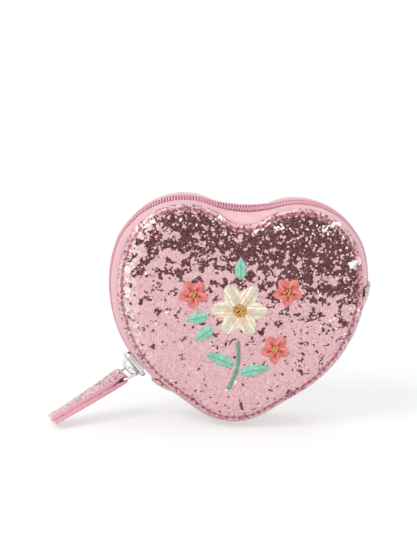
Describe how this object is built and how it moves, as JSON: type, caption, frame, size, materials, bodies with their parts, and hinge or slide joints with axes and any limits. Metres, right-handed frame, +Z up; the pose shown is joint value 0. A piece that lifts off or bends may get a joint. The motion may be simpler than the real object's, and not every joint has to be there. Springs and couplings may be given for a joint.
{
  "type": "coin purse",
  "caption": "Heart-shaped padded coin purse in glitter leatherette with an embroidered front, a zip over its lobes, and a slider with a ring and a folded pull.",
  "frame": {"origin": "bottom centre of the whole purse's box, with the heart standing on its point and its pull reaching to the left", "axes": "+Z up from the point of the heart to its lobes, -Y the embroidered front, +X to the right seen from the front"},
  "size_m": [0.1394, 0.0326, 0.1022],
  "materials": {
    "glitter": "pink leatherette covered in light pink and dark plum glitter under a clear coat",
    "strip": "smooth pale pink leatherette, satin",
    "foam": "off-white padding, hidden",
    "lining": "pink satin-weave lining",
    "tape": "woven pink zip tape",
    "teeth": "deep pink nylon zip teeth",
    "nickel": "bright nickel plate",
    "thread_cream": "satin-stitched cream thread",
    "thread_coral": "satin-stitched coral thread",
    "thread_mint": "satin-stitched mint thread"
  },
  "bodies": {
    "back_case": {"back_panel": "glitter", "back_padding": "foam", "back_lining": "lining", "back_zip_strip": "strip", "back_strip_lining": "lining", "back_zip_tape": "tape", "back_zip_teeth": "teeth", "bottom_gusset": "glitter", "gusset_lining": "lining"},
    "front_case": {"front_panel": "glitter", "front_padding": "foam", "front_lining": "lining", "front_zip_strip": "strip", "front_strip_lining": "lining", "front_zip_tape": "tape", "front_zip_teeth": "teeth", "embroidered_flower": "thread_cream", "embroidered_blossom_1": "thread_coral", "embroidered_blossom_2": "thread_coral", "embroidered_blossom_3": "thread_coral", "embroidered_leaf_1": "thread_mint", "embroidered_leaf_2": "thread_mint", "embroidered_leaf_3": "thread_mint", "embroidered_leaf_4": "thread_mint", "embroidered_leaf_5": "thread_mint", "embroidered_stem": "thread_mint"},
    "slider": {"slider_body": "nickel", "slider_bridge": "nickel"},
    "pull_ring": {"pull_ring": "nickel"},
    "pull_strap": {"pull_strap": "glitter"}
  },
  "joints": [
    {"name": "case_open", "type": "hinge", "parent": "back_case", "child": "front_case", "pos_m": [-0.02316, 0.002, 0.01857], "axis": [0.8906, 0, 0.4547], "range_deg": [0, 33], "deforming": ["bottom_gusset", "gusset_lining"]},
    {"name": "slider_travel", "type": "hinge", "parent": "back_case", "child": "slider", "pos_m": [0.0149, 0.002, 0.06392], "axis": [0, 1, 0], "range_deg": [0, 45]},
    {"name": "ring_swing", "type": "hinge", "parent": "slider", "child": "pull_ring", "pos_m": [-0.0322, 0.002, 0.02136], "axis": [-0.3584, 0.9336, 0], "range_deg": [-70, 25]},
    {"name": "pull_swing", "type": "hinge", "parent": "pull_ring", "child": "pull_strap", "pos_m": [-0.03821, -0.00031, 0.01863], "axis": [-0.3584, 0.9336, 0], "range_deg": [-40, 40]}
  ]
}
